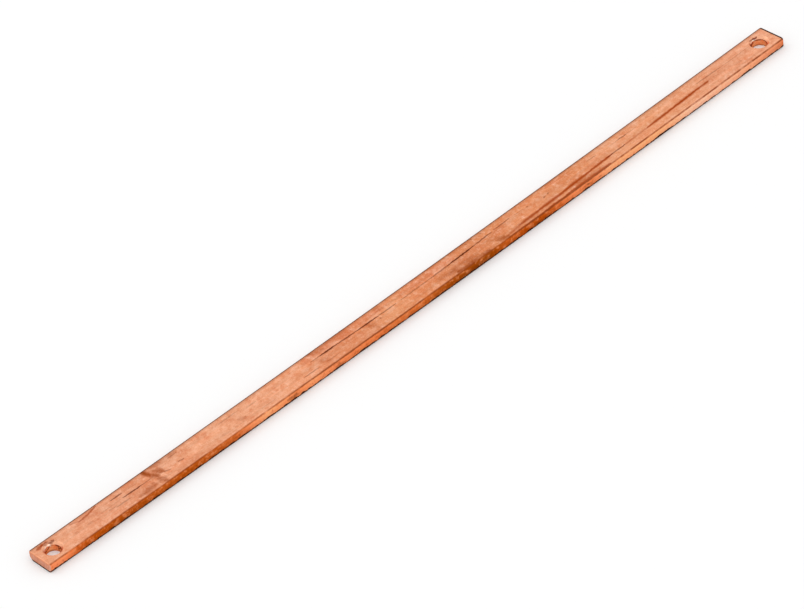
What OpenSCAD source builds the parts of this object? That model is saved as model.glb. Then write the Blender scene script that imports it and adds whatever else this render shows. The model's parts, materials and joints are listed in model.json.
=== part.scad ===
// Rack grounding busbar: one drawn copper flat bar that spans a 19-inch rack,
// with a countersunk screw hole near each end. Millimetres, +Z up.
// Origin: midway between the two hole centres, on the back face.
// +X runs along the bar to its right end, +Y to its upper long side.

/* [Bar] */
// Width of the flat face
bar_w = 15; // [12:0.5:30]
// Thickness of the bar
bar_t = 5; // [3:0.5:10]
// Radius of the four drawn long edges
edge_r = 0.8; // [0.2:0.1:1.2]
// How far the middle is bent towards -Y from the line through the holes
bow = 1.25; // [0.25:0.25:5]

/* [Ends] */
// From the left hole centre to the left end
left_margin = 8.6; // [7:0.1:30]
// From the right hole centre to the right end
right_margin = 9.3; // [7:0.1:30]
// Slant of the left cut from square, positive when the lower side is longer
left_slant = 3; // [-5:0.1:5]
// Slant of the right cut from square, positive when the lower side is longer
right_slant = 2.2; // [-5:0.1:5]
// Radius of the upright corners of each end
corner_r = 1; // [0.3:0.1:2.5]
// Radius of the deburred rim along the cut faces
rim_r = 0.4; // [0.1:0.1:1]
// Leg length of the knocked-off corner at the left end's back
knock = 2.7; // [0.5:0.1:3.5]

/* [Screw holes] */
// Distance between the two hole centres
hole_pitch = 465.1; // [100:0.1:900]
// Diameter of the through holes
hole_d = 7.5; // [5:0.1:9]
// Diameter of the countersinks at the front face
sink_d = 10; // [9:0.1:11]
// Included angle of the countersinks
sink_angle = 90; // [70:1:120]

/* [Hidden] */

// Mesh steps in a full turn of a hole or a rounded edge
round_steps = 48;
$fn = round_steps;
// How far a cutting solid runs past what it cuts
past = 3;
// Angle at which a rounded corner runs out into a long or flat face
runout = 8;

// The bowed centre line is an arc through both hole centres
bow_r = (pow(hole_pitch / 2, 2) + pow(bow, 2)) / (2 * bow);
bow_centre_y = bow_r - bow;
longest_margin = max(left_margin, right_margin);
bow_sweep = 2 * asin((hole_pitch / 2 + longest_margin + past) / bow_r);
// The drawn bar runs on past each end by less than this
cut_reach = longest_margin + 2 * past;
// The arc is swept in this many equal lengths, each lapping over the next
bow_parts = 8;
bow_lap = asin(past / bow_r);

sink_depth = (sink_d - hole_d) / 2 / tan(sink_angle / 2);

// Rectangle centred on the origin, with round corners
module round_rect(w, h, r) {
    square([w - 2 * r, h], center = true);
    square([w, h - 2 * r], center = true);
    for (side_x = [-1, 1], side_y = [-1, 1])
        translate([side_x * (w / 2 - r), side_y * (h / 2 - r)]) circle(r);
}

// The drawn section swept along the bowed centre line, past both ends.
// The large radius cancels between the two moves, which leaves y = -bow at mid-length.
module drawn_bar() {
    part_sweep = bow_sweep / bow_parts;
    translate([0, -bow, 0]) translate([0, bow_r, 0])
        for (part = [0 : bow_parts - 1])
            rotate_extrude(start = 270 - bow_sweep / 2 + part * part_sweep,
                           angle = part_sweep + bow_lap)
                translate([bow_r, bar_t / 2]) round_rect(bar_w, bar_t, edge_r);
}

// What lies outside a round-cornered end whose flat runs along x = 0.
// low and high are where the corner arcs have their centres along y.
module outside_end(low, high, r, reach) {
    difference() {
        translate([-r, -reach]) square([r + cut_reach, 2 * reach]);
        translate([-2 * r, low]) square([2 * r, high - low]);
        for (y = [low, high])
            translate([-r, y]) circle(r);
    }
}

// Cutting solid for the right end, at its distance from the hole
module end_cut(margin, slant) {
    end_x = hole_pitch / 2 + margin;
    end_y = bow_centre_y - sqrt(pow(bow_r, 2) - pow(end_x, 2));
    // Angle between the cut's normal and the bar's own direction there
    lean = slant - asin(end_x / bow_r);
    half_cut = bar_w / 2 / cos(lean);
    corner_in = corner_r * cos(runout) / cos(lean);
    corner_shift = corner_r * tan(lean);
    rim_in = rim_r * cos(runout);
    translate([end_x, end_y, 0]) rotate([0, 0, slant]) {
        translate([0, 0, -past])
            linear_extrude(bar_t + 2 * past)
                outside_end(corner_shift - half_cut + corner_in,
                            corner_shift + half_cut - corner_in,
                            corner_r, bar_w);
        rotate([90, 0, 0])
            linear_extrude(2 * bar_w, center = true)
                outside_end(rim_in, bar_t - rim_in, rim_r, bar_t + past);
        translate([0, half_cut, 0]) children();
    }
}

// Half-space that takes a corner off a block standing on z = 0,
// with its corner at the origin and equal legs along x, y and z
module corner_knock() {
    rotate([0, 0, 45]) rotate([0, atan(1 / sqrt(2)), 0])
        translate([-knock / sqrt(3), -2 * knock, -2 * knock]) cube(4 * knock);
}

// Through hole with a countersink at the front face
module screw_hole() {
    translate([0, 0, -past]) cylinder(h = bar_t + 2 * past, d = hole_d);
    translate([0, 0, bar_t - sink_depth])
        cylinder(h = sink_depth + past, d1 = hole_d,
                 d2 = sink_d + 2 * past * tan(sink_angle / 2));
}

module busbar() {
    color([0.86, 0.55, 0.42])
        difference() {
            drawn_bar();
            end_cut(right_margin, right_slant);
            mirror([1, 0, 0]) end_cut(left_margin, left_slant) corner_knock();
            for (side = [-1, 1])
                translate([side * hole_pitch / 2, 0, 0]) screw_hole();
        }
}

busbar();
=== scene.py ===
# %% [markdown]
# # A copper grounding bar for a 19-inch rack
# One flat bar of drawn copper, sheared to length, drilled and countersunk at each end. The frame holds
# the engineering model: its box, its holes and its bow. Here the bar gets the surface that a maker
# would see: rounded edges, sheared ends, cutter marks, scratches and brown oxide.

# %% Load the frame
import json
import math

import bmesh
import bpy
from mathutils import Color, Matrix, Vector


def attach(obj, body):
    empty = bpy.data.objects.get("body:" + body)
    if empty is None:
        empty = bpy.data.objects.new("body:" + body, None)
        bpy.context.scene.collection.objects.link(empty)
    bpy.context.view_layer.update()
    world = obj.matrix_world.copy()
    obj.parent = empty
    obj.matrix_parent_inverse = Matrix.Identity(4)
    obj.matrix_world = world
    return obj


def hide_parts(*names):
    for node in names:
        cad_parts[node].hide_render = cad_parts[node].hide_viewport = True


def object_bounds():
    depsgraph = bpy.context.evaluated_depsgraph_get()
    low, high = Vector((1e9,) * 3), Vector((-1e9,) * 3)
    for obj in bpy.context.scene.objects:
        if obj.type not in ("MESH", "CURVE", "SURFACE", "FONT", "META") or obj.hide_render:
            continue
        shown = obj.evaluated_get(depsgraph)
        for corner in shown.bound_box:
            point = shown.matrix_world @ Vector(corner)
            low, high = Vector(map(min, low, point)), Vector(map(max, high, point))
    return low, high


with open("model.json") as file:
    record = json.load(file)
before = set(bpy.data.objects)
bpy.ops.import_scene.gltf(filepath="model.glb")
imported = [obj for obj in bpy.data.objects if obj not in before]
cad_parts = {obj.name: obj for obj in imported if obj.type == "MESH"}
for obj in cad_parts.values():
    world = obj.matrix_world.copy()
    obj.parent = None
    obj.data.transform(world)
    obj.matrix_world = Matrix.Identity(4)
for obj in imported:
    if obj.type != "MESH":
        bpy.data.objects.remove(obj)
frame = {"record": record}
cad_low, cad_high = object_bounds()
print("engineering box", tuple(cad_low), tuple(cad_high))

# %% [markdown]
# ## The sizes that drive the bar
# Every size that the frame knows is read from it. Only the width of the drawn section and the radius of
# its long edges are stated here, in metres. The bar is a hair slimmer than the engineering model, so
# that its surface stays inside that model's box.

# %% Sizes
MM = 0.001
NEAR = 0.01 * MM
SKIN = 0.006 * MM
mounts = {mount["name"]: mount for mount in frame["record"]["mounts"]}
hole_pitch = mounts["rack_holes"]["dims"]["spacing_x_mm"] * MM
hole_r = mounts["hole_left"]["dims"]["r_mm"] * MM
bar_t = cad_high.z - cad_low.z
sink_depth = bar_t - mounts["hole_left"]["dims"]["length_mm"] * MM
bow = -mounts["back_face"]["pos_m"][1]
bar_w = 15 * MM - 2 * SKIN
edge_r = 0.8 * MM
sink_r = hole_r + sink_depth
bow_r = ((hole_pitch / 2) ** 2 + bow ** 2) / (2 * bow)
print(f"bar {bar_w / MM:.1f} x {bar_t / MM:.1f} mm, bow {bow / MM:.2f} mm")
print(f"holes {2 * hole_r / MM:.1f} mm, countersinks {2 * sink_r / MM:.1f} mm")


# %% [markdown]
# ## A drawn bar
# A drawn bar leaves the die as one even section. So the model starts the same way: one rounded
# rectangle, swept along the bar in equal steps. A bevelled box would be quicker, but it has no rows of
# points that a hole can be joined to or a bend can follow. The steps are an even part of the hole
# pitch, so that a rectangular patch of the mesh lies exactly round each hole.

# %% The section and its sweep
STEPS_BETWEEN_HOLES = 540
PATCH_STEPS = 7
step = hole_pitch / STEPS_BETWEEN_HOLES
patch_x = PATCH_STEPS * step
flat_half = bar_w / 2 - edge_r
ROWS_ON_FACE = 28
ROWS_ON_SIDE = 6
ROWS_ROUND_EDGE = 5


def straight_edges(bm, axis, length):
    """Edges of the section that run along an axis and are as long as its flat."""
    return [
        edge for edge in bm.edges
        if abs(abs((edge.verts[0].co - edge.verts[1].co)[axis]) - length) < NEAR
    ]


bar = bmesh.new()
bmesh.ops.create_grid(bar, x_segments=1, y_segments=1, size=0.5)
bmesh.ops.scale(bar, vec=(bar_w, bar_t, 1), verts=bar.verts)
bmesh.ops.bevel(
    bar, geom=bar.verts[:], offset=edge_r, segments=ROWS_ROUND_EDGE, profile=0.5,
    affect="VERTICES", material=-1,
)
bmesh.ops.delete(bar, geom=bar.faces[:], context="FACES_ONLY")
bmesh.ops.subdivide_edges(bar, edges=straight_edges(bar, 0, 2 * flat_half), cuts=ROWS_ON_FACE - 1)
bmesh.ops.subdivide_edges(
    bar, edges=straight_edges(bar, 1, bar_t - 2 * edge_r), cuts=ROWS_ON_SIDE - 1
)
turn_upright = Matrix(((0, 0, 1), (1, 0, 0), (0, 1, 0))).to_4x4()
section_x = -hole_pitch / 2 - patch_x - step
bmesh.ops.transform(
    bar, matrix=Matrix.Translation((section_x, 0, bar_t / 2)) @ turn_upright, verts=bar.verts
)
total_steps = STEPS_BETWEEN_HOLES + 2 * (PATCH_STEPS + 1)
bmesh.ops.spin(
    bar, geom=bar.edges[:], cent=(0, 0, 0), axis=(0, 0, 1), dvec=(step, 0, 0), angle=0,
    steps=total_steps, use_merge=False, use_normal_flip=False, use_duplicate=False,
)
print("swept section:", len(bar.verts), "points,", len(bar.faces), "faces")

# %% [markdown]
# ## Holes and countersinks
# A drill and a countersink are turned tools, so the lining of a hole is a turned shape: a short
# profile spun a full turn about the hole's axis. A patch of the face is taken out round each hole, and
# the ring of the lining is bridged to the patch's edge. A Boolean would cut the hole too, but it leaves
# long thin faces that catch the light badly. Bridge Loops can't tell which way to turn two loops in one
# plane, so the ring is made a little proud and moved back after the bridge.

# %% The hole lining and its patch
RING_MARGIN = 0.8 * MM
BREAK = 0.12 * MM
LIFT = 1 * MM


def boundary_loop(bm, inside):
    """Open edges whose two ends both pass a test."""
    return [edge for edge in bm.edges if edge.is_boundary and all(inside(v.co) for v in edge.verts)]


def cut_patch(bm, hole_x):
    """Takes the patches round a hole out of the front and the back face."""
    faces = [
        face for face in bm.faces
        if all(abs(v.co.x - hole_x) < patch_x + NEAR and abs(v.co.y) < flat_half + NEAR
               and (v.co.z < NEAR or v.co.z > bar_t - NEAR) for v in face.verts)
    ]
    bmesh.ops.delete(bm, geom=faces, context="FACES")
    return len(faces)


def line_hole(bm, hole_x):
    """Spins the lining of a hole and bridges it to both faces of the bar."""
    profile = [
        (sink_r + RING_MARGIN, bar_t + LIFT),
        (sink_r + BREAK, bar_t),
        (sink_r, bar_t - BREAK / 3),
        (sink_r - BREAK, bar_t - BREAK),
        ((sink_r + hole_r) / 2, bar_t - sink_depth / 2),
        (hole_r + BREAK, bar_t - sink_depth + BREAK),
        (hole_r + BREAK / 4, bar_t - sink_depth),
        (hole_r, bar_t - sink_depth - BREAK),
        (hole_r, bar_t * 0.5),
        (hole_r, bar_t * 0.25),
        (hole_r, 2 * BREAK),
        (hole_r + BREAK / 2, BREAK / 2),
        (hole_r + 2 * BREAK, 0),
        (hole_r + 4 * BREAK, -LIFT),
    ]
    points = [bm.verts.new((hole_x + radius, 0, height)) for radius, height in profile]
    edges = [bm.edges.new(pair) for pair in zip(points, points[1:])]
    around = 2 * (2 * PATCH_STEPS + ROWS_ON_FACE)
    bmesh.ops.spin(
        bm, geom=points + edges, cent=(hole_x, 0, 0), axis=(0, 0, 1), dvec=(0, 0, 0),
        angle=2 * math.pi, steps=around, use_merge=True, use_normal_flip=False,
        use_duplicate=False,
    )
    for height, lift in ((bar_t, LIFT), (0, -LIFT)):
        edges = boundary_loop(
            bm, lambda co: abs(co.x - hole_x) < patch_x + NEAR
            and min(abs(co.z - height), abs(co.z - height - lift)) < NEAR
        )
        bmesh.ops.bridge_loops(bm, edges=edges)
        ring = {v for edge in edges for v in edge.verts if abs(v.co.z - height - lift) < NEAR}
        bmesh.ops.translate(bm, vec=(0, 0, -lift), verts=list(ring))
    return around


for hole_x in (-hole_pitch / 2, hole_pitch / 2):
    taken = cut_patch(bar, hole_x)
    around = line_hole(bar, hole_x)
    print(f"hole at {hole_x / MM:.2f} mm: {taken} faces out, {around} points round it")

# %% [markdown]
# ## Sheared ends
# A shear leaves each end a little out of square, and a file takes the burr off its rim. The open loop
# is extruded on in short steps. Each step is drawn in a little more, so that the upright corners get a
# 1 mm round and the rim a 0.4 mm round. A bevel would give both the same radius. A matrix then shears
# the steps to the slant of the cut, and one face closes the end.

# %% The end cuts
CORNER_R = 1 * MM
RIM_R = 0.4 * MM
LEFT_LEAN = math.radians(2.36)
RIGHT_LEAN = math.radians(1.56)
# How far the longer corner of each cut reaches past the cut's middle
LEFT_CORNER_OUT = 0.345 * MM
RIGHT_CORNER_OUT = 0.255 * MM
left_end_x = cad_low.x + LEFT_CORNER_OUT
right_end_x = cad_high.x - RIGHT_CORNER_OUT
# Distances of the steps from the end, in mm
ROUNDING_STEPS = [1, 0.8, 0.6, 0.45, 0.3, 0.18, 0.08, 0.02, 0]


def drawn_in(to_end, radius):
    """How far a rounded corner has drawn in at a distance from the end."""
    return radius - math.sqrt(radius ** 2 - max(radius - to_end, 0) ** 2)


def close_end(bm, side, end_x, lean):
    """Carries an open end on to its slanted cut, rounds it and closes it."""
    loop = [edge for edge in bm.edges if edge.is_boundary and side * edge.verts[0].co.x > 0]
    loop_x = loop[0].verts[0].co.x
    mid_height = Matrix.Translation((0, 0, -bar_t / 2))
    last_y = last_z = 1
    new_points = []
    for to_end in ROUNDING_STEPS:
        made = bmesh.ops.extrude_edge_only(bm, edges=loop)["geom"]
        points = [item for item in made if isinstance(item, bmesh.types.BMVert)]
        loop = [item for item in made if isinstance(item, bmesh.types.BMEdge) and item.is_boundary]
        next_x = end_x - side * to_end * MM
        bmesh.ops.translate(bm, vec=(next_x - loop_x, 0, 0), verts=points)
        size_y = 1 - drawn_in(to_end * MM, CORNER_R) / (bar_w / 2)
        size_z = 1 - drawn_in(to_end * MM, RIM_R) / (bar_t / 2)
        bmesh.ops.scale(bm, vec=(1, size_y / last_y, size_z / last_z), space=mid_height, verts=points)
        loop_x, last_y, last_z = next_x, size_y, size_z
        new_points += points
    shear = Matrix.Identity(4)
    shear[0][1] = -side * math.tan(lean)
    bmesh.ops.transform(bm, matrix=shear, verts=new_points)
    bmesh.ops.contextual_create(bm, geom=loop)
    print("end at", round(end_x / MM, 2), "mm:", len(loop), "edges round the cut")


close_end(bar, -1, left_end_x, LEFT_LEAN)
close_end(bar, 1, right_end_x, RIGHT_LEAN)

# %% [markdown]
# ## The knocked corner
# One corner at the back of the left end has been knocked off. A slanted plane cuts it away, and the
# open edge is closed with one face.

# %% A plane cut at the corner
KNOCK_LEG = 2.7 * MM
corner = Vector((left_end_x + bar_w / 2 * math.tan(LEFT_LEAN), bar_w / 2, 0))
knock_normal = Vector((-1, 1, -1)).normalized()
knock_depth = KNOCK_LEG / math.sqrt(3)
bmesh.ops.bisect_plane(
    bar, geom=bar.verts[:] + bar.edges[:] + bar.faces[:], dist=1e-7,
    plane_co=corner - knock_normal * knock_depth, plane_no=knock_normal, clear_outer=True,
)
knock_rim = [edge for edge in bar.edges if edge.is_boundary]
bmesh.ops.contextual_create(bar, geom=knock_rim)
print("knocked corner:", len(knock_rim), "edges round it")

# %% [markdown]
# ## The bow
# The straight bar is bent in one go. Every point keeps its distance from the centre line and is
# carried along an arc through both hole centres. A Simple Deform modifier could bend it as well, but
# this way the hole centres stay exactly where the frame has them.

# %% Bend the bar
for point in bar.verts:
    turn = math.asin(point.co.x / bow_r)
    radius = bow_r - point.co.y
    point.co.x = radius * math.sin(turn)
    point.co.y = bow_r - bow - radius * math.cos(turn)
bmesh.ops.recalc_face_normals(bar, faces=bar.faces)
print(f"bent to a radius of {bow_r:.1f} m")

# %% [markdown]
# ## From mesh data to an object
# Flat and gently curved faces share their shading, and an edge turned by more than 40 degrees stays
# sharp. The object then stands in for the engineering bar.

# %% The copper bar
SHARP = math.radians(40)
for face in bar.faces:
    face.smooth = True
for edge in bar.edges:
    edge.smooth = edge.calc_face_angle(0) < SHARP
mesh = bpy.data.meshes.new("copper_bar")
bar.to_mesh(mesh)
bar.free()
copper_bar = bpy.data.objects.new("copper_bar", mesh)
bpy.context.scene.collection.objects.link(copper_bar)
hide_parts("busbar")
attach(copper_bar, "root")
print("copper bar:", len(mesh.polygons), "faces")

# %% [markdown]
# ## Helpers for shader nodes
# Every material below is a small graph of nodes. These helpers add one node, set its plain values and
# link what feeds it, so that each finish reads as a short recipe.

# %% Node helpers


def tone(red, green, blue, gain=1.0, sheen=0.0):
    """A display colour of 0 to 255 as the linear colour that a shader wants, less a white sheen."""
    linear = Color((red / 255, green / 255, blue / 255)).from_srgb_to_scene_linear()
    return tuple(max(channel * gain - sheen, 0) for channel in linear) + (1,)


def feed(tree, node, inputs):
    """Gives a node's inputs plain values, or links them to the outputs of other nodes."""
    for key, value in inputs.items():
        if isinstance(value, bpy.types.NodeSocket):
            tree.links.new(value, node.inputs[key])
        else:
            node.inputs[key].default_value = value
    return node


def add_node(tree, kind, inputs=None, **settings):
    """Adds a node with its settings and its inputs."""
    node = tree.nodes.new(kind)
    for name, value in settings.items():
        setattr(node, name, value)
    return feed(tree, node, inputs or {})


def add_math(tree, operation, *values):
    """Adds a Math node and returns its result."""
    return add_node(tree, "ShaderNodeMath", dict(enumerate(values)), operation=operation).outputs[0]


def add_vector_math(tree, operation, *values):
    """Adds a Vector Math node and returns its vector result."""
    inputs = dict(enumerate(values))
    return add_node(tree, "ShaderNodeVectorMath", inputs, operation=operation).outputs["Vector"]


def split_vector(tree, vector):
    """The three parts of a vector."""
    return add_node(tree, "ShaderNodeSeparateXYZ", {"Vector": vector}).outputs


def join_vector(tree, *parts):
    """A vector made of two or three parts."""
    return add_node(tree, "ShaderNodeCombineXYZ", dict(enumerate(parts))).outputs["Vector"]


def fade(tree, value, start, end, low=0.0, high=1.0):
    """Runs smoothly from low to high while a value goes from start to end."""
    inputs = {"Value": value, "From Min": start, "From Max": end, "To Min": low, "To Max": high}
    node = add_node(tree, "ShaderNodeMapRange", inputs, interpolation_type="SMOOTHSTEP")
    return node.outputs["Result"]


def mix_colour(tree, share, first, second, blend="MIX"):
    """Blends a second colour over a first one by a share."""
    inputs = {0: share, 6: first, 7: second}
    return add_node(tree, "ShaderNodeMix", inputs, data_type="RGBA", blend_type=blend).outputs[2]


def colour_along(tree, value, start, end, stops):
    """A colour ramp whose stops are given in the value's own units."""
    share = add_node(
        tree, "ShaderNodeMapRange", {"Value": value, "From Min": start, "From Max": end}
    ).outputs["Result"]
    ramp = add_node(tree, "ShaderNodeValToRGB", {"Fac": share})
    elements = ramp.color_ramp.elements
    for place, colour in stops[1:-1]:
        elements.new((place - start) / (end - start)).color = colour
    elements[0].color = stops[0][1]
    elements[-1].color = stops[-1][1]
    return ramp.outputs["Color"]


def noise(tree, vector, scale, detail=3.0, roughness=0.5):
    """A noise value about 0.5 at places given in millimetres."""
    inputs = {"Vector": vector, "Scale": scale, "Detail": detail, "Roughness": roughness}
    return add_node(tree, "ShaderNodeTexNoise", inputs).outputs["Fac"]


def new_group(name, inputs, outputs):
    """A shader node group with named sockets, its input node and its output node."""
    group = bpy.data.node_groups.new(name, "ShaderNodeTree")
    for in_out, sockets in (("INPUT", inputs), ("OUTPUT", outputs)):
        for socket_name, kind in sockets:
            group.interface.new_socket(socket_name, in_out=in_out, socket_type="NodeSocket" + kind)
    return group, group.nodes.new("NodeGroupInput"), group.nodes.new("NodeGroupOutput")


def use_group(tree, group, inputs=None):
    """Places a node group in a tree."""
    node = add_node(tree, "ShaderNodeGroup", node_tree=group)
    return feed(tree, node, inputs or {})


# %% [markdown]
# ## Where a point is on the bar
# Marks on a bar are easiest to place along it and across it. This group turns an object's coordinates
# into millimetres along, across and up from the back face, and takes the bow out of the across value.
# A little noise shakes the places that the marks use, so that no mark has a ruler's edge.

# %% Place on the bar
thick_mm = bar_t / MM
half_flat_mm = flat_half / MM
SHAKE_SCALE = 0.55
SHAKE_MM = (3.0, 0.9, 0.9)
place_group, _, place_out = new_group(
    "bar_place", [],
    [("Along", "Float"), ("Across", "Float"), ("Up", "Float"), ("Straight", "Vector"),
     ("Face Spot", "Vector"), ("Side Spot", "Vector")],
)
tree = place_group
object_place = add_node(tree, "ShaderNodeTexCoord").outputs["Object"]
in_mm = add_vector_math(tree, "MULTIPLY", object_place, (1 / MM, 1 / MM, 1 / MM))
along, bent_across, up = split_vector(tree, in_mm)
sagitta = add_math(tree, "MULTIPLY", add_math(tree, "MULTIPLY", along, along), MM / (2 * bow_r))
from_lowest = add_math(tree, "ADD", bent_across, bow / MM)
across = add_math(tree, "SUBTRACT", from_lowest, sagitta)
straight = join_vector(tree, along, across, up)
shake = add_node(tree, "ShaderNodeTexNoise", {"Vector": in_mm, "Scale": SHAKE_SCALE, "Detail": 4.0})
shake = add_vector_math(tree, "SUBTRACT", shake.outputs["Color"], (0.5, 0.5, 0.5))
shake = add_vector_math(tree, "MULTIPLY", shake, SHAKE_MM)
shaken_along, shaken_across, shaken_up = split_vector(
    tree, add_vector_math(tree, "ADD", straight, shake)
)
face_spot = join_vector(tree, shaken_along, shaken_across)
side_spot = join_vector(tree, shaken_along, shaken_up)
for name, value in (("Along", along), ("Across", across), ("Up", up), ("Straight", straight),
                    ("Face Spot", face_spot), ("Side Spot", side_spot)):
    tree.links.new(value, place_out.inputs[name])
print("place group:", len(tree.nodes), "nodes")

# %% [markdown]
# ## One stroke
# A score, a scratch or a smudge is a soft line between two points. The group finds the nearest point
# of the line to the shaded spot and fades with the distance from it. The stroke is widest at its
# middle, as a scratch is. The spot's third value carries the strongest mark so far, and the group
# passes the spot on, so that strokes form a chain. Side by side they would overflow the renderer's
# small memory for shader values.

# %% Stroke
TAPER_FROM = 0.15
TIP_WIDTH = 0.55
CORE_SHARE = 0.05
stroke_group, stroke_in, stroke_out = new_group(
    "stroke",
    [("Spot", "Vector"), ("Start", "Vector"), ("End", "Vector"), ("Half Width", "Float"),
     ("Strength", "Float")],
    [("Spot", "Vector")],
)
tree = stroke_group
start = stroke_in.outputs["Start"]
spot_x, spot_y, mask_so_far = split_vector(tree, stroke_in.outputs["Spot"])
run = add_vector_math(tree, "SUBTRACT", stroke_in.outputs["End"], start)
offset = add_vector_math(tree, "SUBTRACT", join_vector(tree, spot_x, spot_y), start)
offset_on_run = add_node(
    tree, "ShaderNodeVectorMath", {0: offset, 1: run}, operation="DOT_PRODUCT"
).outputs["Value"]
run_squared = add_node(
    tree, "ShaderNodeVectorMath", {0: run, 1: run}, operation="DOT_PRODUCT"
).outputs["Value"]
share = add_node(
    tree, "ShaderNodeMath", {0: offset_on_run, 1: run_squared}, operation="DIVIDE", use_clamp=True
).outputs[0]
nearest = add_node(
    tree, "ShaderNodeVectorMath", {0: run, "Scale": share}, operation="SCALE"
).outputs["Vector"]
distance = add_node(
    tree, "ShaderNodeVectorMath", {0: offset, 1: nearest}, operation="DISTANCE"
).outputs["Value"]
from_middle = add_math(tree, "ABSOLUTE", add_math(tree, "SUBTRACT", share, 0.5))
taper = fade(tree, from_middle, TAPER_FROM, 0.5, 1.0, TIP_WIDTH)
width = add_math(tree, "MULTIPLY", stroke_in.outputs["Half Width"], taper)
core = add_math(tree, "MULTIPLY", width, CORE_SHARE)
soft = fade(tree, distance, width, core)
mask = add_math(tree, "MULTIPLY", soft, stroke_in.outputs["Strength"])
strongest = add_math(tree, "MAXIMUM", mask, mask_so_far)
tree.links.new(join_vector(tree, spot_x, spot_y, strongest), stroke_out.inputs["Spot"])
print("stroke group:", len(tree.nodes), "nodes")


def strokes(tree, spot, rows):
    """One mask for many strokes. A row is start x, start y, end x, end y, half width, strength."""
    for x0, y0, x1, y1, half_width, strength in rows:
        inputs = {"Spot": spot, "Start": (x0, y0, 0), "End": (x1, y1, 0),
                  "Half Width": half_width, "Strength": strength}
        spot = use_group(tree, stroke_group, inputs).outputs["Spot"]
    return split_vector(tree, spot)[2]


# %% [markdown]
# ## Drawing lines
# The die leaves fine lines that run the whole length of the bar. Noise that is stretched along the bar
# gives them: one broad set that shifts the tone, one fine set for the bump and the gloss. A third noise
# isn't stretched and breaks up the stains.

# %% Drawing lines
LINE_SQUEEZE = 0.035
grain_group, grain_in, grain_out = new_group(
    "drawing_lines", [("Straight", "Vector")],
    [("Broad", "Float"), ("Fine", "Float"), ("Mottle", "Float")],
)
tree = grain_group
straight = grain_in.outputs["Straight"]
stretched = add_vector_math(tree, "MULTIPLY", straight, (LINE_SQUEEZE, 1, 1))
tree.links.new(noise(tree, stretched, 0.9, 3.0, 0.6), grain_out.inputs["Broad"])
tree.links.new(noise(tree, stretched, 5.0, 3.0, 0.6), grain_out.inputs["Fine"])
tree.links.new(noise(tree, straight, 0.16, 5.0, 0.6), grain_out.inputs["Mottle"])
print("drawing lines:", len(tree.nodes), "nodes")

# %% [markdown]
# ## Marks on the front face
# These are the scores, smudges and oxide stains of one bar that has been handled, each placed in
# millimetres along and across. Scores are dark and thin, grooves are wider and orange, stains are
# broad and brown, and blushes are patches where the copper is redder. The four rows at the far left of
# the grooves are a dark smear at the rim of the left countersink, partly stain and partly painted shade.
# A row gives the start and the end of a stroke, its half width and its strength.

# %% Front face marks
SCORES = [
    (-206, 0.3, -190, 0.3, 0.5, 0.25), (-189, 0.3, -177, 0.2, 0.65, 0.9),
    (-178, 0.2, -172, 0.2, 0.4, 0.5), (-194, 3.2, -187, 3.2, 0.65, 0.75),
    (-187, 3.1, -178, 2.9, 0.5, 0.2), (-195, -2.3, -187, -2.3, 0.8, 0.35),
    (-199, -1.3, -194, -1.4, 0.5, 0.25), (-157.5, 4.4, -152, 4.3, 0.6, 0.4),
    (-164.5, -1.2, -161.5, -2.2, 0.6, 0.5), (-156, -1.1, -152.5, -1.4, 0.6, 0.5),
    (-78.5, -4, -68.5, -4.1, 0.6, 0.45), (-64, -4, -55, -4.2, 0.5, 0.3),
    (-69, 1.7, -63, 1.5, 0.6, 0.5), (-64, 1.5, -52, 1.3, 0.8, 1.0), (-54, 1.3, -38, 0.8, 0.7, 0.75),
    (-40, 0.8, -26, 0.6, 0.8, 0.95), (-27, 0.6, -15, 0.5, 0.6, 0.6), (-11, 0.5, 10, 0.8, 0.6, 0.4),
    (-26.3, -1.1, -26, -1.7, 0.7, 0.5), (8, 0.7, 22, 1, 0.8, 0.55), (20, 1, 38, 1.5, 0.8, 1.0),
    (36, 1.5, 50, 2, 0.7, 0.65), (52, 2.3, 63, 2.5, 0.6, 0.6), (63, 2.4, 72, 2.3, 0.4, 0.3),
    (74, 1.9, 74.5, 1.7, 0.6, 0.8), (36.5, 5.5, 37, 4.8, 0.5, 0.5), (39.5, 6.4, 40.5, 5.6, 0.5, 0.5),
    (45.5, 5.9, 46.5, 5.2, 0.5, 0.5), (83.5, 0.3, 85, 0.6, 0.7, 0.45), (86.5, 0.7, 87.3, 1.1, 0.6, 0.6),
    (124, -2.7, 136, -2.6, 0.7, 0.65), (130, 2.7, 150, 2.3, 0.4, 0.3), (136, 2.5, 142, 2.4, 0.6, 0.7),
    (116, 2.9, 122, 2.9, 0.5, 0.4), (191, 1.9, 207, 1.6, 0.6, 0.45), (205, 1.6, 227, 1.3, 0.4, 0.3),
    (-126, 3.4, -114, 3.4, 0.5, 0.3), (-110, 1.7, -104, 1.7, 0.5, 0.25),
    (-106, -4.3, -97, -4.4, 0.4, 0.25), (-230, 4.3, -228.3, 3, 0.9, 0.75),
    (-231.4, 4.9, -229.6, 4.2, 0.8, 0.35),
]
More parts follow.
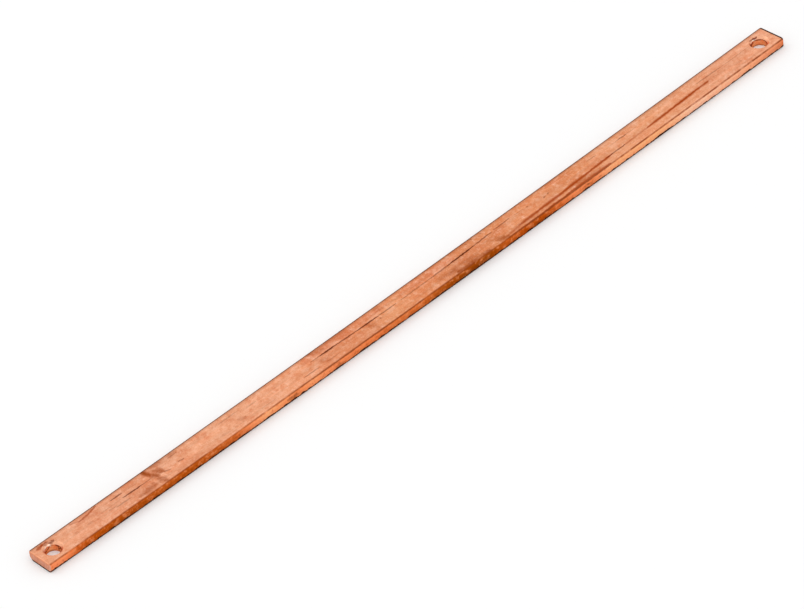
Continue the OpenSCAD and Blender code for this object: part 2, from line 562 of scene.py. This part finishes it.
GROOVES = [
    (53, -5.9, 64, -5.1, 1.3, 0.5), (62, -4.9, 76, -4.5, 1.7, 0.85), (74, -4.4, 95, -4.1, 1.7, 0.9),
    (92, -4, 112, -3.3, 1.8, 0.95), (110, -3.3, 127, -2.7, 1.4, 0.95),
    (134, -2.6, 156, -2.2, 1.0, 0.5), (152, -2.3, 172, -1.7, 1.4, 0.95),
    (168, -1.8, 190, -1.1, 1.5, 1.0), (186, -1.2, 195.5, -1.1, 1.2, 0.8),
    (53, -7.4, 75, -7.3, 1.1, 0.9), (74, -7.3, 94, -7.1, 1.1, 1.0), (92, -6.8, 122, -6.9, 1.5, 0.85),
    (-212.5, 3.9, -206, 4.6, 1.1, 0.75), (-207, 4.5, -201, 6, 1.0, 0.75),
    (-217, 5.8, -212, 4, 0.9, 0.45), (-237.5, 4.6, -235, 5, 2.2, 0.8),
    (-235.4, 4.9, -233, 4.9, 2.1, 1.0), (-233.2, 4.9, -231, 4.7, 1.9, 1.0),
    (-231, 4.7, -229, 3.6, 1.4, 0.9),
]
STAINS = [
    (-171.5, 7.4, -170.5, 2, 2.8, 1.0), (-170.5, 3, -168.5, -1.5, 3.4, 0.85),
    (-169.5, -2.5, -168, -7, 3.4, 0.85), (-183, -5, -173, -4.6, 3.2, 0.6),
    (-174, -2.6, -173, -3.2, 1.4, 0.5), (-168, 5.8, -152, 5, 2.6, 0.4),
    (-167.5, 3, -164.5, -0.5, 3.6, 0.7), (-218.8, -0.6, -218.2, -0.8, 1.8, 0.45),
    (-211, -0.6, -208.5, -0.7, 1.4, 0.3), (-118, -1.8, -115.5, -2.8, 3.2, 0.35),
    (-66, 6.3, -59, 4.2, 3.2, 0.5), (-66, 0, -62, -5, 3.4, 0.25), (-57, 5.8, -40, 5.2, 2.6, 0.25),
    (-33.5, 0, -31.5, -5.2, 3.2, 0.3), (-24, 5.6, -21, 3.4, 2.8, 0.3), (16, -4.2, 34, -4.6, 4.4, 0.65),
    (20, -6.2, 40, -6.8, 3.2, 0.9), (10, -3, 20, -4, 3.2, 0.3), (47.5, -4.6, 53, -6.4, 2.8, 0.7),
    (44, -1.2, 50, -3.6, 2.8, 0.35), (118, -5.4, 100, -5.4, 1.8, 0.35),
    (193, -1.1, 196, -1.1, 1.2, 0.6), (212, -3, 216.5, -3.2, 1.6, 0.35),
    (-131, -4.2, -126.5, -4.5, 1.5, 0.35), (-160, -5.6, -124, -5.6, 2.6, 0.25),
]
BLUSHES = [
    (-70, 4.5, -18, 4, 5.5, 0.7), (-8, 3.5, 24, 3.5, 5.5, 0.7), (24, -1.5, 60, 1, 4.0, 0.35),
    (92, 5, 100, 4.6, 2.6, 0.6), (-214, 2.5, -204, 5.5, 3.2, 0.5), (-241, -3, -239, 4, 2.6, 0.25),
    (100, -1, 122, -1.2, 2.4, 0.4), (140, -5, 160, -5, 3.0, 0.3), (236, 3, 240, 5, 2.6, 0.4),
]
print("front face:", len(SCORES + GROOVES + STAINS + BLUSHES), "strokes")

# %% [markdown]
# ## Drawn copper
# Bare copper is a metal, so its colour is the colour of its reflection. The front keeps most of its
# salmon shine, and it shifts a little along the bar. The long sides are darker and more orange. Both
# tones are ramps along the bar, with a stop wherever the tone turns. A side faces less of the light
# than the front, so its tones get a gain. Then the little white sheen that the sky adds is taken off.

# %% Tones along the bar
# Half the reach of both ramps, in mm
HALF_BAR = 243
FRONT_TONES = [
    (-243, tone(236, 168, 130)), (-200, tone(232, 163, 127)), (-178, tone(226, 153, 115)),
    (-160, tone(232, 162, 124)), (-140, tone(240, 174, 136)), (-100, tone(240, 173, 135)),
    (-78, tone(234, 159, 117)), (-60, tone(226, 147, 105)), (-40, tone(223, 139, 93)),
    (-20, tone(232, 160, 114)), (0, tone(224, 142, 95)), (24, tone(219, 140, 94)),
    (50, tone(223, 145, 98)), (80, tone(229, 151, 105)), (105, tone(224, 145, 97)),
    (125, tone(234, 164, 122)), (160, tone(235, 165, 122)), (200, tone(233, 165, 128)),
    (232, tone(240, 172, 136)), (243, tone(242, 176, 140)),
]
SIDE_GAIN = 1.3
SIDE_SHEEN = 0.006
SIDE_TONES = [
    (-243, (225, 130, 85)), (-234, (232, 140, 96)), (-228, (218, 118, 68)), (-223, (186, 88, 36)),
    (-212, (172, 80, 24)), (-186, (163, 77, 27)), (-172, (178, 88, 36)), (-158, (172, 82, 28)),
    (-138, (174, 85, 34)), (-124, (194, 102, 52)), (-115, (226, 138, 92)), (-106, (243, 164, 116)),
    (-96, (234, 148, 98)), (-86, (219, 131, 82)), (-77, (235, 152, 104)), (-60, (223, 131, 84)),
    (-36, (214, 118, 68)), (-6, (194, 102, 50)), (12, (156, 75, 25)),
    (40, (146, 70, 20)), (50, (184, 90, 38)), (62, (172, 77, 26)), (78, (172, 77, 26)),
    (88, (206, 110, 60)), (98, (222, 134, 88)), (108, (212, 122, 76)), (120, (241, 165, 120)),
    (155, (245, 166, 119)), (180, (242, 184, 156)), (218, (230, 162, 124)),
    (236, (214, 138, 102)), (243, (196, 104, 64)),
]
SIDE_TONES = [
    (place, tone(*colour, gain=SIDE_GAIN, sheen=SIDE_SHEEN)) for place, colour in SIDE_TONES
]
print("tones along the bar:", len(FRONT_TONES), "front and", len(SIDE_TONES), "side")

# %% [markdown]
# ## Tones of the marks and of the oxide
# Clouds of paler and deeper copper lie over the tones, in three sizes from about 7 mm down to less than
# 1 mm. Where the dark edge lines and the painted shade at the foot lie, the finish loses its metal. Bare
# copper shines nearly white when it is seen at a grazing angle, and the grazing tint holds that back.

# %% Tones of marks, clouds and oxide
SCORE_TONE = tone(98, 34, 10)
GROOVE_TONE = tone(168, 66, 16)
STAIN_TONE = tone(158, 70, 14)
BLUSH_TONE = tone(222, 132, 94)
PALE_TONE = tone(250, 196, 166)
DEEP_TONE = tone(214, 120, 78)
FAR_SHADE_TONE = tone(124, 68, 42)
PALE_SIDE_TONE = tone(238, 150, 96)
DEEP_SIDE_TONE = tone(150, 64, 14)
OXIDE_TONE = tone(110, 52, 26)
EDGE_TONE = tone(150, 72, 34)
END_LINE_TONE = tone(64, 30, 16)
FAR_SIDE_TONE = tone(204, 112, 66)
# Painted shade at the foot, where the bar meets the floor
FOOT_SHADE_TONE = tone(48, 18, 8)
FAR_LINE_TONE = tone(74, 34, 18)
GRAZING_TINT = tone(234, 186, 154)
DARK_MATT_IOR = 1.1
METAL_LOST_WHERE_DARK = 0.95
# Each row: size of the noise, its detail, and how far its pale and its deep clouds cover
CLOUDS = [(0.14, 5.0, 0.6, 0.55), (0.5, 5.0, 0.75, 0.7), (1.6, 3.0, 0.5, 0.5)]

# %% [markdown]
# ## The front of the drawn copper
# The face is built up as a painter would do it, in thin layers: the blushes and the clouds of the metal
# first, then the drawing lines, then stains, grooves and scores. Last comes a soft shade along the far
# edge. A mask says where each layer covers. The marks could also be painted on by hand, but strokes
# stay sharp at any distance and can be moved one by one.

# %% The front of the drawn copper
drawn_copper = bpy.data.materials.new("drawn_copper")
drawn_copper.use_nodes = True
tree = drawn_copper.node_tree
shader = tree.nodes["Principled BSDF"]
place = use_group(tree, place_group)
grain = use_group(tree, grain_group, {"Straight": place.outputs["Straight"]})
along = place.outputs["Along"]
across = place.outputs["Across"]
up = place.outputs["Up"]
mottle = grain.outputs["Mottle"]
front = colour_along(tree, along, -HALF_BAR, HALF_BAR, FRONT_TONES)
side = colour_along(tree, along, -HALF_BAR, HALF_BAR, SIDE_TONES)
patchy = fade(tree, mottle, 0.3, 0.65, 0.35, 1.0)
on_front = fade(tree, up, thick_mm / 2 - 0.5, thick_mm / 2 + 0.5)


def front_mark(rows, weight):
    """The mask of some strokes on the front face, weakened here and there by a second value."""
    mask = strokes(tree, place.outputs["Face Spot"], rows)
    return add_math(tree, "MULTIPLY", add_math(tree, "MULTIPLY", mask, on_front), weight)


front = mix_colour(tree, front_mark(BLUSHES, patchy), front, BLUSH_TONE)
for scale, detail, pale_share, deep_share in CLOUDS:
    clouds = noise(tree, place.outputs["Straight"], scale, detail, 0.65)
    front = mix_colour(tree, fade(tree, clouds, 0.48, 0.75, 0.0, pale_share), front, PALE_TONE)
    front = mix_colour(tree, fade(tree, clouds, 0.52, 0.25, 0.0, deep_share), front, DEEP_TONE)
drawing_shade = fade(tree, grain.outputs["Broad"], 0.32, 0.68, 0.93, 1.07)
front = mix_colour(tree, 1.0, front, drawing_shade, "MULTIPLY")
stain = front_mark(STAINS, patchy)
front = mix_colour(tree, stain, front, STAIN_TONE)
groove = front_mark(GROOVES, 1.0)
front = mix_colour(tree, groove, front, GROOVE_TONE)
score = front_mark(SCORES, 1.0)
front = mix_colour(tree, score, front, SCORE_TONE)
far_shade = add_math(tree, "MULTIPLY", fade(tree, across, 4.8, 6.9, 0.0, 0.42), on_front)
front = mix_colour(tree, far_shade, front, FAR_SHADE_TONE)
print("front of the drawn copper:", len(tree.nodes), "nodes")

# %% [markdown]
# ## The long sides
# The side's colour takes over where a point is past the flat of the section. The near side has the
# changing tone and the marks, and the far side has one plain tone. At the foot of both, a painted shade
# ends in a ragged line.

# %% Sides of the drawn copper
SIDE_MARKS = [
    (-93, 2.8, -86, 2.2, 1.8, 0.45), (160.2, 1.3, 160.9, 1.3, 1.0, 1.0),
    (105.4, 3.4, 106.6, 2.6, 0.9, 0.6), (-173, 1, -166, 1.4, 1.2, 0.3),
    (-62, 2, -56, 1.6, 1.4, 0.35), (22, 2, 40, 2, 1.8, 0.3), (66, 1.5, 80, 1.5, 1.4, 0.3),
    (-205, 1.4, -190, 1.2, 1.3, 0.3), (-84, 4.8, -40, 4.8, 0.9, 0.7),
    (-44, 4.8, -4, 4.8, 0.9, 0.7), (52, 4.8, 122, 4.8, 0.9, 0.75),
]
END_SLANT = 0.04
near_half = fade(tree, across, 0.5, -0.5)
side = mix_colour(tree, near_half, FAR_SIDE_TONE, side)
side_clouds = noise(tree, place.outputs["Straight"], 0.45, 4.0, 0.65)
cloudy = fade(tree, along, 110, 140, 1.0, 0.55)
pale_cloud = add_math(tree, "MULTIPLY", fade(tree, side_clouds, 0.48, 0.68, 0.0, 0.7), cloudy)
deep_cloud = add_math(tree, "MULTIPLY", fade(tree, side_clouds, 0.5, 0.28, 0.0, 0.5), cloudy)
side = mix_colour(tree, pale_cloud, side, PALE_SIDE_TONE)
side = mix_colour(tree, deep_cloud, side, DEEP_SIDE_TONE)
band = add_math(tree, "MULTIPLY", fade(tree, up, 2.4, 3.5), fade(tree, up, 4.8, 3.9))
band_shade = fade(tree, band, 0.0, 1.0, 0.97, 1.06)
side = mix_colour(tree, 1.0, side, band_shade, "MULTIPLY")
side_mark = add_math(
    tree, "MULTIPLY", strokes(tree, place.outputs["Side Spot"], SIDE_MARKS), near_half
)
side = mix_colour(tree, side_mark, side, OXIDE_TONE)
# Painted shade at the foot of both sides, where the bar meets the floor, with a ragged top
foot_noise = noise(tree, place.outputs["Straight"], 0.3, 3.0, 0.5)
foot_wave = add_math(tree, "MULTIPLY_ADD", foot_noise, -2.0, 0.95)
foot = fade(tree, add_math(tree, "ADD", up, foot_wave), 1.45, 0.95)
side = mix_colour(tree, foot, side, FOOT_SHADE_TONE)
off_centre = add_math(tree, "ABSOLUTE", across)
is_side = fade(tree, off_centre, half_flat_mm + 0.35, half_flat_mm + 0.6)
body = mix_colour(tree, is_side, front, side)
print("drawn copper with its sides:", len(tree.nodes), "nodes")

# %% [markdown]
# ## Dark lines on the edges
# A thin brown line runs along both long edges of the front, worn away here and there. The far edge and
# the right end of the front have a darker one over it. A line is where two fades cross, and one of them
# runs upwards, so each line keeps to the rounded top edge and leaves the sides plain.

# %% Edge lines
far_line = fade(tree, across, half_flat_mm - 0.3, half_flat_mm + 0.1)
top_edge = fade(tree, up, thick_mm - 0.7, thick_mm - 0.4)
far_line = add_math(tree, "MULTIPLY", far_line, top_edge)
body = mix_colour(tree, far_line, body, FAR_LINE_TONE)
edge_band = add_math(
    tree, "MULTIPLY", fade(tree, off_centre, half_flat_mm, half_flat_mm + 0.5),
    fade(tree, up, thick_mm - 0.8, thick_mm - 0.4),
)
wear = noise(tree, place.outputs["Straight"], 0.12, 4.0, 0.6)
edge_line = add_math(tree, "MULTIPLY", edge_band, fade(tree, wear, 0.35, 0.6, 0.35, 1.0))
edge_share = add_math(tree, "MULTIPLY", edge_line, fade(tree, along, 115, 135, 0.75, 0.95))
body = mix_colour(tree, edge_share, body, EDGE_TONE)
square_along = add_math(tree, "MULTIPLY_ADD", across, END_SLANT, along)
end_line = add_math(tree, "MULTIPLY", fade(tree, square_along, 240.6, 240.95), top_edge)
body = mix_colour(tree, end_line, body, END_LINE_TONE)
tree.links.new(body, shader.inputs["Base Color"])
print("drawn copper with its lines:", len(tree.nodes), "nodes")

# %% [markdown]
# ## Gloss and relief
# The fine drawing lines make the gloss and the bump. Scores and grooves are a little sunk, and stains
# and scores are duller. Where the dark edge lines and the painted shade at the foot lie, the copper
# stops being a metal.

# %% Gloss and relief of the drawn copper
BUMP_DEPTH = 0.05 * MM
# The painted shade at the foot of the sides and the dark edge lines make the finish matt
side_foot_shade = add_math(tree, "MULTIPLY", foot, is_side)
dark_matt = add_math(tree, "MAXIMUM", add_math(tree, "MAXIMUM", far_line, end_line), side_foot_shade)
metal = add_math(tree, "MULTIPLY_ADD", dark_matt, -METAL_LOST_WHERE_DARK, 1.0)
tree.links.new(metal, shader.inputs["Metallic"])
shader.inputs["IOR"].default_value = DARK_MATT_IOR
shader.inputs["Specular Tint"].default_value = GRAZING_TINT
dull = add_math(tree, "MAXIMUM", stain, score)
gloss = fade(tree, grain.outputs["Fine"], 0.3, 0.7, 0.36, 0.48)
roughness = add_math(tree, "MULTIPLY_ADD", dull, 0.15, gloss)
tree.links.new(roughness, shader.inputs["Roughness"])
cut_in = add_math(tree, "MAXIMUM", score, groove)
relief = add_math(tree, "MULTIPLY_ADD", cut_in, -1.2, grain.outputs["Fine"])
bump = add_node(
    tree, "ShaderNodeBump", {"Height": relief, "Strength": 0.35, "Distance": BUMP_DEPTH}
)
tree.links.new(bump.outputs["Normal"], shader.inputs["Normal"])
print("drawn copper finished:", len(tree.nodes), "nodes")

# %% [markdown]
# ## Sheared ends and drilled holes
# A shear drags down through the bar, so its lines stand upright. A drill and a countersink leave fine
# rings. Both are the same copper with another grain: the same noise, stretched upwards for the shear and
# round the hole for the drill. A pattern is stretched by squeezing the places that it is read at. One
# function makes such a metal and a second one finishes its colour.

# %% Sheared and drilled copper
TOOL_LINE_DEPTH = 0.05 * MM


def cut_copper(name, squeeze, scale, gloss):
    """A metal whose tool lines are noise read at squeezed places. Returns it with its parts."""
    material = bpy.data.materials.new(name)
    material.use_nodes = True
    tree = material.node_tree
    shader = tree.nodes["Principled BSDF"]
    place = use_group(tree, place_group)
    stretched = add_vector_math(tree, "MULTIPLY", place.outputs["Straight"], squeeze)
    lines = noise(tree, stretched, scale, 4.0, 0.6)
    shader.inputs["Specular Tint"].default_value = GRAZING_TINT
    tree.links.new(fade(tree, lines, 0.3, 0.7, *gloss), shader.inputs["Roughness"])
    bump = add_node(
        tree, "ShaderNodeBump", {"Height": lines, "Strength": 0.4, "Distance": TOOL_LINE_DEPTH}
    )
    tree.links.new(bump.outputs["Normal"], shader.inputs["Normal"])
    return material, tree, shader, place, lines


def finish_cut(tree, shader, place, lines, colour, foot_share, dark_matt):
    """Lays the tool lines and a painted shade at the foot over a cut face's colour."""
    shade = fade(tree, lines, 0.3, 0.7, 0.88, 1.12)
    colour = mix_colour(tree, 1.0, colour, shade, "MULTIPLY")
    # Painted shade at the foot of the cut face
    foot = fade(tree, place.outputs["Up"], 1.25, 0.8, 0.0, foot_share)
    colour = mix_colour(tree, foot, colour, FOOT_SHADE_TONE)
    dark_matt = add_math(tree, "MAXIMUM", foot, dark_matt)
    metal = add_math(tree, "MULTIPLY_ADD", dark_matt, -METAL_LOST_WHERE_DARK, 1.0)
    tree.links.new(metal, shader.inputs["Metallic"])
    shader.inputs["IOR"].default_value = DARK_MATT_IOR
    tree.links.new(colour, shader.inputs["Base Color"])
    print("cut copper:", len(tree.nodes), "nodes")


# %% [markdown]
# ## Sheared ends
# The sheared ends are as pale as the front with a redder cloud here and there. Their top rim has a
# painted shade that holds back the highlight on its round, and at the right end it is nearly black, so
# the rim's tone depends on the side.

# %% Sheared ends
SHEARED_PALE_TONE = tone(224, 170, 147)
SHEARED_DEEP_TONE = tone(214, 148, 124)
RIM_SHADE_TONE = tone(226, 150, 112)
sheared_copper, tree, shader, place, lines = cut_copper(
    "sheared_copper", (1, 1, 0.08), 2.2, (0.34, 0.5)
)
clouds = fade(tree, noise(tree, place.outputs["Straight"], 0.4, 4.0, 0.6), 0.35, 0.65)
colour = mix_colour(tree, clouds, SHEARED_PALE_TONE, SHEARED_DEEP_TONE)
# Painted shade on the rounded top rim holds back its highlight, and at the right end the rim is nearly
# black
rim_shade = fade(tree, place.outputs["Up"], thick_mm - 0.9, thick_mm - 0.4, 0.0, 0.9)
at_right = fade(tree, place.outputs["Along"], -10, 10)
rim_shade_tone = mix_colour(tree, at_right, RIM_SHADE_TONE, FOOT_SHADE_TONE)
colour = mix_colour(tree, rim_shade, colour, rim_shade_tone)
right_rim = add_math(tree, "MULTIPLY", rim_shade, at_right)
finish_cut(tree, shader, place, lines, colour, 1.0, right_rim)

# %% [markdown]
# ## Marks in the holes
# In a hole, the countersink is as pale as the front and the wall is more orange. The countersink has
# dark arcs, partly stain and partly painted shade, and the wall has patches of painted shade. Both have
# a few painted highlights. Each hole has its own marks, given in millimetres from its centre: those of a
# countersink along and across, those of a wall along and up.

# %% Marks in the holes
# Dark arcs on the countersinks, partly stain and partly painted shade
LEFT_SINK_STAINS_AND_SHADES = [(-2, 4.7, 1.2, 4.8, 0.9, 0.55), (1, 4.8, 3.8, 3.2, 0.8, 0.75)]
RIGHT_SINK_STAINS_AND_SHADES = [
    (-2.4, 4.2, -0.2, 4.4, 0.6, 0.7), (-0.3, 4.4, 2.1, 3.8, 0.7, 1.0),
    (-2.9, 2.6, -4.5, 0.8, 0.8, 0.95),
]
# Painted highlights on the countersinks
LEFT_SINK_HIGHLIGHTS = [
    (-2, 3.4, 0, 4, 0.8, 0.6), (0.4, 3.7, 1.6, 3.6, 0.8, 1.0), (-3.4, 2.2, -2.2, 3.4, 0.8, 0.5),
]
RIGHT_SINK_HIGHLIGHTS = [(-0.1, 3.8, 1.5, 3.6, 0.8, 1.0), (-2.4, 3.1, -0.4, 3.8, 0.7, 0.5)]
# Painted shade on the walls of the holes
LEFT_WALL_SHADES = [
    (1, 3, -0.8, 1.9, 0.6, 0.9), (-0.8, 1.9, -2.8, 1.5, 0.8, 1.0), (1.6, 3.7, 3.3, 3.6, 0.5, 0.45),
    (3.1, 3.7, 3.8, 3.5, 0.8, 1.0), (3.6, 3.4, 3.7, 0.9, 0.5, 0.8), (0.5, 0.1, 2.4, 0.1, 0.4, 0.7),
]
RIGHT_WALL_SHADES = [
    (-0.4, 2.8, -1.4, 2.9, 0.8, 0.8), (-1.4, 2.9, -2.8, 2.8, 1.2, 1.0), (0.4, 3.7, 3.7, 3.5, 0.7, 0.9),
]
# Painted highlights on the walls of the holes
LEFT_WALL_HIGHLIGHTS = [(0.7, 3.4, 1.8, 3.3, 0.8, 1.0), (-2.6, 3.2, -0.6, 3.4, 0.8, 0.6)]
RIGHT_WALL_HIGHLIGHTS = [(0, 3.5, 1.2, 3.5, 0.6, 0.9)]


def round_hole(side, rows):
    """Strokes given from a hole's centre, placed at the left hole or at the right one."""
    shift = side * hole_pitch / 2 / MM
    return [(x0 + shift, y0, x1 + shift, y1, *rest) for x0, y0, x1, y1, *rest in rows]


left_count = len(LEFT_SINK_STAINS_AND_SHADES + LEFT_SINK_HIGHLIGHTS + LEFT_WALL_SHADES + LEFT_WALL_HIGHLIGHTS)
right_count = len(RIGHT_SINK_STAINS_AND_SHADES + RIGHT_SINK_HIGHLIGHTS + RIGHT_WALL_SHADES + RIGHT_WALL_HIGHLIGHTS)
print("marks in the left hole:", left_count, "and in the right one:", right_count)

# %% [markdown]
# ## Drilled copper
# Wall and countersink are two colours of one finish, and the height of a point says which of them it
# gets. Most light never reaches into a hole, so the tones of its wall are brighter than those outside.

# %% Drilled copper
WALL_PALE_TONE = tone(255, 178, 124)
WALL_DEEP_TONE = tone(255, 150, 92)
# Painted highlight on the wall
WALL_HIGHLIGHT_TONE = tone(255, 222, 196)
SINK_TONE = tone(240, 174, 138)
# Painted highlight on the countersink
SINK_HIGHLIGHT_TONE = tone(255, 236, 216)
# Dark arcs and shade in the holes, partly stain and partly painted shade
HOLE_STAIN_AND_SHADE_TONE = tone(110, 32, 12)
drilled_copper, tree, shader, place, lines = cut_copper(
    "drilled_copper", (0.3, 0.3, 1), 3.0, (0.3, 0.42)
)
sink_foot_mm = (bar_t - sink_depth) / MM
in_sink = fade(tree, place.outputs["Up"], sink_foot_mm - 0.15, sink_foot_mm + 0.05)
in_wall = add_math(tree, "SUBTRACT", 1.0, in_sink)
wall_clouds = fade(tree, noise(tree, place.outputs["Straight"], 0.5, 4.0, 0.6), 0.35, 0.65)
wall = mix_colour(tree, wall_clouds, WALL_PALE_TONE, WALL_DEEP_TONE)


def hole_mark(spot_name, left_rows, right_rows, where):
    """The mask of strokes round both holes, kept to the wall or to the countersink."""
    rows = round_hole(-1, left_rows) + round_hole(1, right_rows)
    mask = strokes(tree, place.outputs[spot_name], rows)
    return add_math(tree, "MULTIPLY", mask, where)


# Painted highlights on the walls and the countersinks
wall_highlight = hole_mark("Side Spot", LEFT_WALL_HIGHLIGHTS, RIGHT_WALL_HIGHLIGHTS, in_wall)
wall = mix_colour(tree, wall_highlight, wall, WALL_HIGHLIGHT_TONE)
sink_highlight = hole_mark("Face Spot", LEFT_SINK_HIGHLIGHTS, RIGHT_SINK_HIGHLIGHTS, in_sink)
sink = mix_colour(tree, sink_highlight, SINK_TONE, SINK_HIGHLIGHT_TONE)
colour = mix_colour(tree, in_sink, wall, sink)
# Dark arcs on the countersinks, partly stain and partly painted shade, and painted shade on the walls
sink_stain_and_shade = hole_mark("Face Spot", LEFT_SINK_STAINS_AND_SHADES, RIGHT_SINK_STAINS_AND_SHADES, in_sink)
wall_shade = hole_mark("Side Spot", LEFT_WALL_SHADES, RIGHT_WALL_SHADES, in_wall)
stains_and_shades = add_math(tree, "MAXIMUM", sink_stain_and_shade, wall_shade)
colour = mix_colour(tree, stains_and_shades, colour, HOLE_STAIN_AND_SHADE_TONE)
finish_cut(tree, shader, place, lines, colour, 0.3, 0.0)
for material in (drawn_copper, sheared_copper, drilled_copper):
    mesh.materials.append(material)

# %% [markdown]
# ## Which faces were cut by which tool
# The faces that look along the bar came from the shear, and those inside a countersink's rim came from
# the drill and the countersink. All others keep the first material, the drawn copper.

# %% Give the cut faces their material
LOOKS_ALONG = 0.45
for face in mesh.polygons:
    centre = face.center
    to_hole = math.hypot(abs(centre.x) - hole_pitch / 2, centre.y)
    if abs(face.normal.x) > LOOKS_ALONG and to_hole > sink_r + RING_MARGIN:
        face.material_index = 1
    elif to_hole < sink_r + BREAK and NEAR < centre.z < bar_t - NEAR:
        face.material_index = 2
cut_faces = [sum(face.material_index == index for face in mesh.polygons) for index in range(3)]
print("drawn, sheared and drilled faces:", cut_faces)

# %% [markdown]
# ## Floor and backdrop
# The bar lies on plain white paper. For camera, mirror and glass rays the floor and the world are
# partly a plain white glow of strength 1, so the ground stays white and still takes the bar's shadow.

# %% Rays that see the backdrop


def backdrop_ray(tree, scale):
    """A value that is scale for camera, glossy and transmission rays, and 0 for other rays."""
    path = add_node(tree, "ShaderNodeLightPath")
    seen = add_math(tree, "MAXIMUM", path.outputs["Is Camera Ray"], path.outputs["Is Glossy Ray"])
    seen = add_math(tree, "MAXIMUM", seen, path.outputs["Is Transmission Ray"])
    return add_math(tree, "MULTIPLY", seen, scale)


# %% [markdown]
# ## The paper
# The paper is one large square in the plane of the back face. A fifth of what the camera sees of it is
# glow, and the rest is matt white.

# %% Floor
PAPER = 0.98
GLOW_SHARE = 0.2
FLOOR_HALF = 4
floor_shape = bmesh.new()
bmesh.ops.create_grid(floor_shape, x_segments=1, y_segments=1, size=FLOOR_HALF)
floor_mesh = bpy.data.meshes.new("floor")
floor_shape.to_mesh(floor_mesh)
floor_shape.free()
floor = bpy.data.objects.new("floor", floor_mesh)
bpy.context.scene.collection.objects.link(floor)
paper = bpy.data.materials.new("white_paper")
paper.use_nodes = True
tree = paper.node_tree
tree.nodes.clear()
matt = add_node(tree, "ShaderNodeBsdfDiffuse", {"Color": (PAPER, PAPER, PAPER, 1)})
glow = add_node(tree, "ShaderNodeEmission", {"Color": (1, 1, 1, 1), "Strength": 1.0})
blend = add_node(
    tree, "ShaderNodeMixShader",
    {0: backdrop_ray(tree, GLOW_SHARE), 1: matt.outputs[0], 2: glow.outputs[0]},
)
add_node(tree, "ShaderNodeOutputMaterial", {"Surface": blend.outputs[0]})
floor_mesh.materials.append(paper)
print("floor:", 2 * FLOOR_HALF, "m wide")

# %% [markdown]
# ## Soft studio light
# Most of the light is an even white sky. One broad lamp behind the bar gives the shadow its side, and
# one small lamp in front lifts the near long side a little.

# %% World and lamps
SKY = 0.96
scene = bpy.context.scene
world = bpy.data.worlds.new("studio")
scene.world = world
world.use_nodes = True
tree = world.node_tree
background = tree.nodes["Background"]
background.inputs["Color"].default_value = (1, 1, 1, 1)
sky = add_math(tree, "ADD", backdrop_ray(tree, 1 - SKY), SKY)
tree.links.new(sky, background.inputs["Strength"])


def soft_lamp(name, place, size, power):
    """A square lamp that faces the origin."""
    light = bpy.data.lights.new(name, "AREA")
    light.shape = "SQUARE"
    light.size = size
    light.energy = power
    lamp = bpy.data.objects.new(name, light)
    scene.collection.objects.link(lamp)
    lamp.location = place
    lamp.rotation_euler = (-Vector(place)).to_track_quat("-Z", "Y").to_euler()
    print("lamp", name, power, "W")


soft_lamp("key_lamp", (-1.2, 2.8, 3.2), 2.4, 15)
soft_lamp("front_lamp", (0.5, -2.0, 2.0), 0.6, 2)

# %% [markdown]
# ## Camera
# A long lens far away looks down at the bar from its front left, and is turned a little about its own
# axis. So the bar runs from corner to corner of the picture, and its ends look nearly the same size.

# %% Camera
VIEW_BACK = Vector((-0.50119, -0.59350, 0.62973))
VIEW_TARGET = Vector((-9.358, 1.199, 0)) * MM
VIEW_DISTANCE = 3703 * MM
VIEW_ROLL = math.radians(-7.65)
SENSOR_MM = 36
LENS_MM = 358.209
lens = bpy.data.cameras.new("camera")
lens.sensor_width = SENSOR_MM
lens.lens = LENS_MM
camera = bpy.data.objects.new("camera", lens)
scene.collection.objects.link(camera)
camera.location = VIEW_TARGET + VIEW_BACK * VIEW_DISTANCE
facing = (-VIEW_BACK).to_track_quat("-Z", "Y").to_matrix()
camera.rotation_euler = (facing @ Matrix.Rotation(VIEW_ROLL, 3, "Z")).to_euler()
scene.camera = camera
scene.view_settings.view_transform = "Standard"
print("camera:", LENS_MM, "mm lens,", round(VIEW_DISTANCE, 3), "m away")
